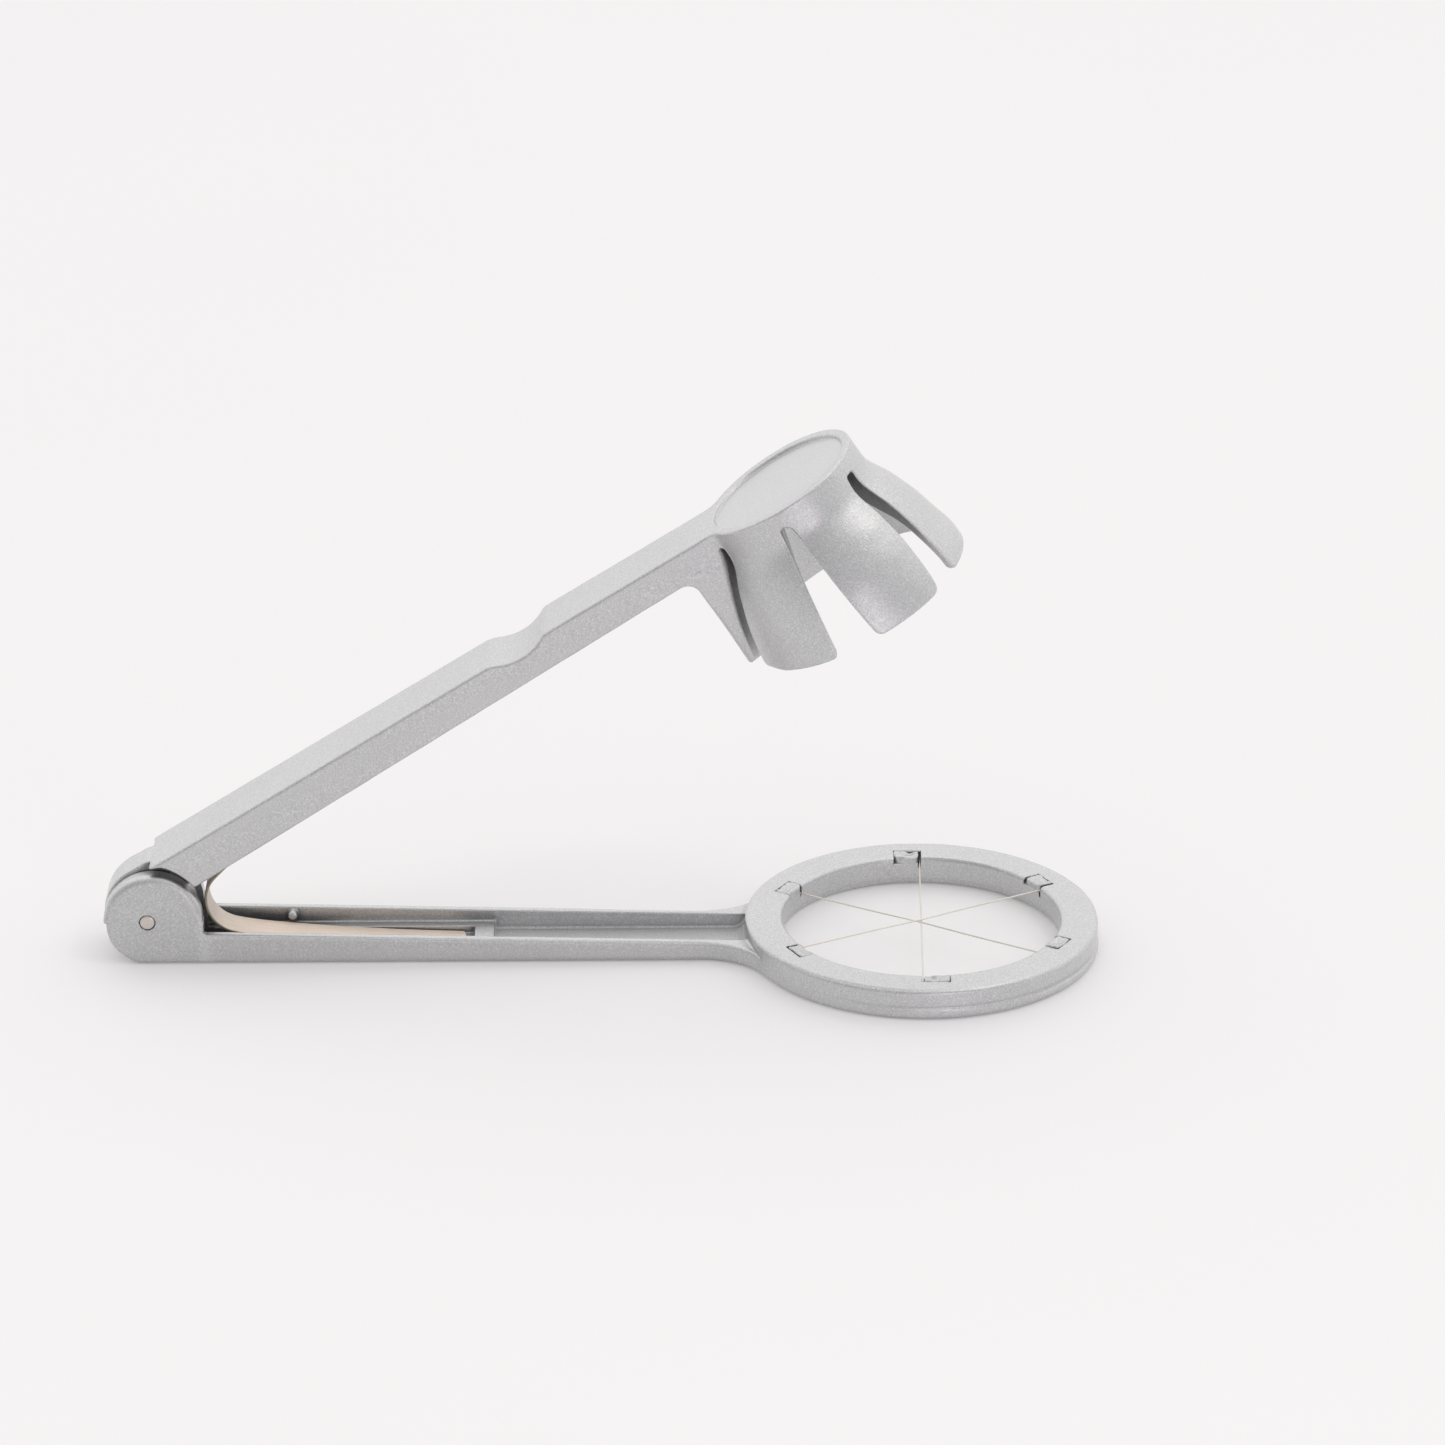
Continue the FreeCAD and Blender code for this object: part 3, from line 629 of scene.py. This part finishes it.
def lathe_y(name, prof, x, z, sides=64):
    """A turned piece about an axis along Y: prof is (radius, y), from one end's middle to the other's."""
    v, faces = [], []
    ang = np.linspace(0, 2 * math.pi, sides, endpoint=False)
    rows = []
    for r, y in prof:
        if r == 0:
            rows.append([len(v)])
            v.append((x / 1000, y / 1000, z / 1000))
        else:
            rows.append(list(range(len(v), len(v) + sides)))
            v += [((x + r * math.cos(t)) / 1000, y / 1000, (z + r * math.sin(t)) / 1000) for t in ang]
    for a, b in zip(rows[:-1], rows[1:]):
        for j in range(sides):
            k = (j + 1) % sides
            if len(a) == 1:
                faces.append((a[0], b[k], b[j]))
            elif len(b) == 1:
                faces.append((b[0], a[j], a[k]))
            else:
                faces.append((a[j], a[k], b[k], b[j]))
    m = bpy.data.meshes.new(name)
    m.from_pydata(v, [], faces)
    m.update()
    import bmesh
    bm = bmesh.new()
    bm.from_mesh(m)
    bmesh.ops.recalc_face_normals(bm, faces=bm.faces)
    bm.to_mesh(m)
    bm.free()
    smooth(m)
    return new_object(name, m)


end = [(0.0, -6.88), (0.35, -6.875), (0.70, -6.855), (1.0, -6.82), (1.16, -6.78), (1.26, -6.72), (1.31, -6.64), (1.33, -6.5), (1.33, -6.2)]
prof = end + [(1.33, -3.4), (1.33, 0.0), (1.33, 3.4)] + [(r, -y) for r, y in reversed(end)]
pin = lathe_y("pin", prof, PIN_X, PIN_Z)
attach(pin, "base")
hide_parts("hinge_pin")


def spring_line():
    th = OPEN
    eu, ev = SPRING_END_UV
    e = np.array([PIN_X + eu * math.cos(th) - ev * math.sin(th), PIN_Z + eu * math.sin(th) + ev * math.cos(th)])
    c = np.array(SPRING_C)
    d = e - c
    a_out = math.atan2(d[1], d[0]) + math.acos(SPRING_R / np.hypot(*d))
    pts = [np.array(p) for p in SPRING_LOW]
    for t in np.linspace(0, 1, 10):
        a = math.radians(254.0) + (a_out - math.radians(254.0)) * t
        pts.append(c + SPRING_R * np.array([math.cos(a), math.sin(a)]))
    last = pts[-1]
    pts += [last + (e - last) * t for t in (0.25, 0.5, 0.75, 1.0)]
    pts = np.array(pts)
    s = np.concatenate([[0], np.cumsum(np.hypot(*np.diff(pts, axis=0).T))])
    px = spline(list(zip(pts[:, 0], s)))
    pz = spline(list(zip(pts[:, 1], s)))
    t = np.linspace(0, s[-1], 230)
    return np.stack([np.interp(t, px[0], px[1]), np.interp(t, pz[0], pz[1])], -1)


def strip(name, line, t, hw):
    """A flat strip along an X, Z line, its edges rounded and its ends cut square."""
    tan = np.gradient(line, axis=0)
    tan /= np.linalg.norm(tan, axis=1)[:, None]
    nrm = np.stack([-tan[:, 1], tan[:, 0]], -1)
    h, e = t / 2, 0.16
    sec = [(-hw + 0.6 * k * hw, h) for k in (0,)]
    prof = []
    for sy, sn in ((1, 1), (1, -1), (-1, -1), (-1, 1)):
        corner = [(hw - e + e * math.cos(q), h - e + e * math.sin(q)) for q in np.linspace(0, math.pi / 2, 4)]
        if sy * sn > 0:
            corner = corner[::-1]
        prof += [(sy * a, sn * b) for a, b in corner]
    mid = []
    for i, p in enumerate(prof):
        q = prof[(i + 1) % len(prof)]
        mid.append(p)
        if abs(p[0] - q[0]) > 2:
            mid += [(p[0] + (q[0] - p[0]) * w, p[1] + (q[1] - p[1]) * w) for w in (0.25, 0.5, 0.75)]
    prof = mid
    n, m = len(line), len(prof)
    v = []
    for i in range(n):
        ends = min(i, n - 1 - i)
        for y, b in prof:
            # rounded corners in plan at both ends
            pull = 0.0
            if ends == 0:
                pull = max(0.0, abs(y) - (hw - 0.9))
                pull = 0.9 - math.sqrt(max(0.0, 0.81 - pull * pull)) if pull < 0.9 else 0.9
            sgn = 1 if i == 0 else -1
            x, z = line[i] + nrm[i] * b + tan[i] * sgn * pull
            v.append((x / 1000, y / 1000, z / 1000))
    faces = [(i * m + j, i * m + (j + 1) % m, (i + 1) * m + (j + 1) % m, (i + 1) * m + j) for i in range(n - 1) for j in range(m)]
    v.append(tuple(np.array([line[0][0], 0, line[0][1]]) / 1000))
    v.append(tuple(np.array([line[-1][0], 0, line[-1][1]]) / 1000))
    for j in range(m):
        faces.append((n * m, (j + 1) % m, j))
        faces.append((n * m + 1, (n - 1) * m + j, (n - 1) * m + (j + 1) % m))
    me = bpy.data.meshes.new(name)
    me.from_pydata(v, [], faces)
    me.update()
    import bmesh
    bm = bmesh.new()
    bm.from_mesh(me)
    bmesh.ops.recalc_face_normals(bm, faces=bm.faces)
    for ed in bm.edges:
        if len(ed.link_faces) == 2 and ed.calc_face_angle() > 0.9:
            ed.smooth = False
    bm.to_mesh(me)
    bm.free()
    smooth(me)
    return new_object(name, me)


spring = strip("spring", spring_line(), SPRING_T, SPRING_HW)
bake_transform(spring)
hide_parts("leaf_spring")

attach(base, "base")
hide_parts("base_frame")
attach(arm, "arm")
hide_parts("presser_arm")


# ------------------------------------------------------------------ materials
def material(name):
    m = bpy.data.materials.new(name)
    m.use_nodes = True
    t = m.node_tree
    t.nodes.clear()
    out = t.nodes.new("ShaderNodeOutputMaterial")
    p = t.nodes.new("ShaderNodeBsdfPrincipled")
    t.links.new(p.outputs[0], out.inputs[0])
    co = t.nodes.new("ShaderNodeTexCoord")
    return m, t, p, co.outputs["Object"]


def noise(t, vec, scale, detail=2.0, rough=0.5):
    n = t.nodes.new("ShaderNodeTexNoise")
    n.inputs["Scale"].default_value = scale
    n.inputs["Detail"].default_value = detail
    n.inputs["Roughness"].default_value = rough
    t.links.new(vec, n.inputs["Vector"])
    return n.outputs["Fac"]


def ramp(t, fac, stops):
    r = t.nodes.new("ShaderNodeValToRGB")
    e = r.color_ramp.elements
    while len(e) < len(stops):
        e.new(0.5)
    for x, (pos, col) in zip(e, stops):
        x.position = pos
        x.color = (*col, 1) if len(col) == 3 else col
    t.links.new(fac, r.inputs[0])
    return r.outputs[0]


def spread(t, fac, a, b, lo=0.0, hi=1.0):
    m = t.nodes.new("ShaderNodeMapRange")
    m.inputs["From Min"].default_value = lo
    m.inputs["From Max"].default_value = hi
    m.inputs["To Min"].default_value = a
    m.inputs["To Max"].default_value = b
    t.links.new(fac, m.inputs["Value"])
    return m.outputs[0]


def mix(t, a, b, fac, kind="MIX"):
    m = t.nodes.new("ShaderNodeMix")
    m.data_type = "RGBA"
    m.blend_type = kind
    for s, x in ((6, a), (7, b)):
        if isinstance(x, tuple):
            m.inputs[s].default_value = (*x, 1)
        else:
            t.links.new(x, m.inputs[s])
    if isinstance(fac, float):
        m.inputs[0].default_value = fac
    else:
        t.links.new(fac, m.inputs[0])
    return m.outputs[2]


def bump(t, height, dist, strength=1.0, under=None):
    b = t.nodes.new("ShaderNodeBump")
    b.inputs["Distance"].default_value = dist
    b.inputs["Strength"].default_value = strength
    t.links.new(height, b.inputs["Height"])
    if under is not None:
        t.links.new(under, b.inputs["Normal"])
    return b.outputs[0]


def coat(name, tone=1.0, warm=0.0, grain=1.0, deep=0.25, rough=0.41, metal=0.91):
    """Silver metallic lacquer over a casting: fine flake, soft grain, faint clouding, and painted shade darkening it in
    the recesses.
    """
    m, t, p, co = material(name)
    fine = noise(t, co, 3700, 2.0, 0.6)
    mid = noise(t, co, 1300, 3.0, 0.55)
    big = noise(t, co, 70, 2.0, 0.5)
    k = min(1.0, 0.3 + 0.7 * grain)      # a smoother film shows less flake
    c1 = (0.585 * tone + 0.006 * warm, 0.586 * tone, 0.594 * tone - 0.006 * warm)
    shades = [(0.28, 1 - 0.158 * k), (0.52, 1.0), (0.66, 1 + 0.16 * k), (0.74, 1 + 0.30 * k)]
    col = ramp(t, fine, [(at, tuple(x * f for x in c1)) for at, f in shades])
    cloud = ramp(t, big, [(0.3, (0.965, 0.965, 0.968)), (0.7, (1.0, 1.0, 1.0))])
    col = mix(t, col, cloud, 1.0, "MULTIPLY")
    # painted shade: the colour darkens, down to deep times itself, where the 'open' attribute is low, in slots,
    # corners, recesses and the regions the shade functions darken
    at = t.nodes.new("ShaderNodeAttribute")
    at.attribute_name = "open"
    painted_shade = ramp(t, at.outputs["Fac"], [(0.0, (deep, deep, deep)), (0.31, (0.28 + 0.6 * deep,) * 3), (0.6, (0.8 + 0.15 * deep,) * 3), (0.85, (1.0, 1.0, 1.0))])
    col = mix(t, col, painted_shade, 1.0, "MULTIPLY")
    t.links.new(col, p.inputs["Base Color"])
    t.links.new(spread(t, mid, rough - 0.05, rough + 0.05, 0.3, 0.7), p.inputs["Roughness"])
    p.inputs["Metallic"].default_value = metal
    p.inputs["Specular IOR Level"].default_value = 0.5
    p.inputs["Coat Weight"].default_value = 0.7
    p.inputs["Coat Roughness"].default_value = 0.21
    t.links.new(bump(t, fine, 0.00008 * grain, 0.95), p.inputs["Coat Normal"])
    n = bump(t, mid, 0.00007 * grain, 0.4)
    n = bump(t, fine, 0.00005 * grain, 0.7, n)
    t.links.new(n, p.inputs["Normal"])
    return m


silver = coat("silver_lacquer")
dish_m = coat("cap_lacquer", tone=1.03, warm=0.6, grain=0.25)
inside = coat("channel_lacquer", tone=1.04, deep=0.75, rough=0.62, metal=0.7)   # rougher film on the unworked channel floor; it is also a lighter copy of the lacquer with weaker recess shade, painted light
chip = coat("staked_chip", tone=0.97, grain=1.5, deep=0.6)


def steel(name, col, rough, streak, axis, metallic=1.0, painted_height_shade=None):
    """Drawn or rolled steel, streaked along the grain. The last argument, if given, darkens it, a little bluer, between
    two heights: painted shade.
    """
    m, t, p, co = material(name)
    mp = t.nodes.new("ShaderNodeMapping")
    mp.inputs["Scale"].default_value = axis
    t.links.new(co, mp.inputs["Vector"])
    n = noise(t, mp.outputs[0], streak, 3.0, 0.6)
    big = noise(t, co, 160, 2.0, 0.5)
    a = tuple(x * 0.88 for x in col)
    body = mix(t, ramp(t, n, [(0.3, a), (0.7, col)]), ramp(t, big, [(0.3, (0.93, 0.92, 0.91)), (0.7, (1, 1, 1))]), 1.0, "MULTIPLY")
    if painted_height_shade:
        sep = t.nodes.new("ShaderNodeSeparateXYZ")
        t.links.new(co, sep.inputs[0])
        rise = spread(t, sep.outputs["Z"], 0.0, 1.0, painted_height_shade[0], painted_height_shade[1])
        body = mix(t, body, ramp(t, rise, [(0.0, (1, 1, 1)), (1.0, (painted_height_shade[2], painted_height_shade[2] * 1.03, painted_height_shade[2] * 1.06))]), 1.0, "MULTIPLY")
    t.links.new(body, p.inputs["Base Color"])
    t.links.new(spread(t, n, rough * 0.85, rough * 1.15, 0.3, 0.7), p.inputs["Roughness"])
    p.inputs["Metallic"].default_value = metallic
    t.links.new(bump(t, n, 0.00001, 0.5), p.inputs["Normal"])
    return m


# painted shade: the spring's upper bend, from 3.5 to 7 mm up, is coloured darker and a little bluer
spring_m = steel("spring_steel", (0.92, 0.785, 0.67), 0.42, 900, (0.12, 1.0, 1.0), 0.25, (0.0035, 0.0070, 0.72))
edge_m = steel("spring_edge", (0.34, 0.30, 0.22), 0.5, 1500, (0.3, 1.0, 1.0), 0.5)
wire_m = steel("wire_steel", (0.80, 0.76, 0.70), 0.40, 2600, (1.0, 1.0, 1.0))
pin_m = steel("pin_steel", (0.70, 0.65, 0.62), 0.36, 2200, (1.0, 0.2, 1.0))

for o in (base, arm):
    o.data.materials.append(silver)
arm.data.materials.append(dish_m)
# the floor of the cap's dish has the smoother film
me = arm.data
ctr = np.zeros(len(me.polygons) * 3, f32)
me.polygons.foreach_get("center", ctr)
ctr = ctr.reshape(-1, 3) * 1000 - np.array([PIN_X, 0, PIN_Z])
uu = ctr[:, 0] * math.cos(OPEN) + ctr[:, 2] * math.sin(OPEN)
vv = -ctr[:, 0] * math.sin(OPEN) + ctr[:, 2] * math.cos(OPEN)
in_dish = (np.hypot(uu - 133.2, ctr[:, 1]) < 12.35) & (vv > 7.2)
me.polygons.foreach_set("material_index", in_dish.astype(np.int32))
# painted light: the channel's floor and lower walls take the lighter copy of the lacquer
base.data.materials.append(inside)
me = base.data
ctr = np.zeros(len(me.polygons) * 3, f32)
me.polygons.foreach_get("center", ctr)
ctr = ctr.reshape(-1, 3) * 1000
low = TOP_Z_HINGE + TOP_K * (ctr[:, 0] - TOP_X_HINGE) - 0.35
in_run = (np.abs(ctr[:, 1]) < CI + 0.1) & (ctr[:, 2] > 0.5) & (ctr[:, 2] < low) & (ctr[:, 0] > RIB_X1) & (ctr[:, 0] < RING_X - CHANNEL_R + 1.0)
me.polygons.foreach_set("material_index", in_run.astype(np.int32))
for w in wedges:
    w.data.materials.append(chip)
for w in wires:
    w.data.materials.append(wire_m)
pin.data.materials.append(pin_m)
spring.data.materials.append(spring_m)
spring.data.materials.append(edge_m)
for f in spring.data.polygons:      # the sheared edges of the strip are darker than its faces
    f.material_index = 1 if abs(f.normal.y) > 0.6 else 0

# ------------------------------------------------------------------ floor, light, camera
fm = bpy.data.meshes.new("floor")
fm.from_pydata([(-4, -4, 0), (4, -4, 0), (4, 4, 0), (-4, 4, 0)], [], [(0, 1, 2, 3)])
floor = new_object("floor", fm)
floor.location.z = -0.00003
mt, t, p, co = material("floor_paper")
t.links.new(ramp(t, noise(t, co, 3.0, 2.0), [(0.3, (0.695, 0.687, 0.689)), (0.7, (0.705, 0.697, 0.699))]), p.inputs["Base Color"])
p.inputs["Roughness"].default_value = 0.75
p.inputs["Specular IOR Level"].default_value = 0.15
p.inputs["Emission Color"].default_value = (1.0, 0.985, 0.99, 1)
p.inputs["Emission Strength"].default_value = 0.185
fm.materials.append(mt)

world = bpy.data.worlds.new("studio")
bpy.context.scene.world = world
world.use_nodes = True
wt = world.node_tree
wt.nodes.clear()
wo = wt.nodes.new("ShaderNodeOutputWorld")
bg = wt.nodes.new("ShaderNodeBackground")
wt.links.new(bg.outputs[0], wo.inputs[0])
tc = wt.nodes.new("ShaderNodeTexCoord")
sx = wt.nodes.new("ShaderNodeSeparateXYZ")
wt.links.new(tc.outputs["Generated"], sx.inputs[0])
# pale walls and ceiling, brightest above and behind, dimmer on the camera's side
high = ramp(wt, sx.outputs["Z"], [(0.0, (0.71, 0.71, 0.71)), (0.4, (0.78, 0.78, 0.78)), (0.7, (0.88, 0.874, 0.868)), (1.0, (1.0, 0.986, 0.974))])
depth = spread(wt, sx.outputs["Y"], 0.0, 1.0, -1.0, 1.0)
back = ramp(wt, depth, [(0.0, (0.56, 0.56, 0.565)), (0.25, (0.74, 0.74, 0.745)), (0.5, (0.95, 0.95, 0.95)), (0.7, (1.0, 1.0, 1.0))])
room = mix(wt, high, back, 1.0, "MULTIPLY")
# on the camera's side it falls off towards the left
left = ramp(wt, spread(wt, sx.outputs["X"], 0.0, 1.0, -1.0, 1.0), [(0.0, (0.66, 0.66, 0.66)), (0.5, (0.86, 0.86, 0.86)), (1.0, (1.0, 1.0, 1.0))])
front = ramp(wt, depth, [(0.40, (1.0, 1.0, 1.0)), (0.68, (0.0, 0.0, 0.0))])
wt.links.new(mix(wt, room, mix(wt, room, left, 1.0, "MULTIPLY"), front), bg.inputs["Color"])
bg.inputs["Strength"].default_value = 1.39


def area(name, loc, target, size, power, col=(1, 1, 1)):
    d = bpy.data.lights.new(name, "AREA")
    d.shape = "RECTANGLE"
    d.size, d.size_y = size
    d.energy = power
    d.color = col
    o = bpy.data.objects.new(name, d)
    bpy.context.scene.collection.objects.link(o)
    o.location = loc
    o.rotation_mode = "QUATERNION"
    o.rotation_quaternion = (Vector(target) - Vector(loc)).to_track_quat("-Z", "Y")
    return o




def lamp(name, az, el, dist, size, radiance, col):
    """A small soft lamp seen from the crown in the direction az, el."""
    a, e = math.radians(az), math.radians(el)
    tgt = Vector((0.043, -0.014, 0.078))
    loc = tgt + dist * Vector((math.cos(a) * math.cos(e), math.sin(a) * math.cos(e), math.sin(e)))
    return area(name, loc, tgt, (size, size), radiance * math.pi * size * size, col)


lamp("lamp_low", -74.0, 2.5, 1.1, 0.10, 22.0, (1.0, 0.90, 0.96))
lamp("lamp_high", -27.0, 60.0, 1.2, 0.16, 9.0, (1.0, 0.97, 0.92))

cam_d = bpy.data.cameras.new("camera")
cam = bpy.data.objects.new("camera", cam_d)
bpy.context.scene.collection.objects.link(cam)
yaw, pitch, roll, foc = 0.0108661, 0.4038142, 0.000898963, 6000.0
fw = Vector((math.sin(yaw) * math.cos(pitch), math.cos(yaw) * math.cos(pitch), -math.sin(pitch)))
r0 = Vector((math.cos(yaw), -math.sin(yaw), 0))
d0 = fw.cross(r0)
r2 = r0 * math.cos(roll) + d0 * math.sin(roll)
d2 = -r0 * math.sin(roll) + d0 * math.cos(roll)
rot = Matrix((r2, -d2, -fw)).transposed().to_4x4()
cam.matrix_world = Matrix.Translation((0.010705, -0.943119, 0.444896)) @ rot
cam_d.sensor_fit = "HORIZONTAL"
cam_d.sensor_width = 36.0
cam_d.lens = foc / 1445.0 * 36.0
cam_d.clip_start, cam_d.clip_end = 0.01, 20.0
bpy.context.scene.camera = cam
bpy.context.scene.view_settings.view_transform = "Standard"
bpy.context.scene.view_settings.look = "None"
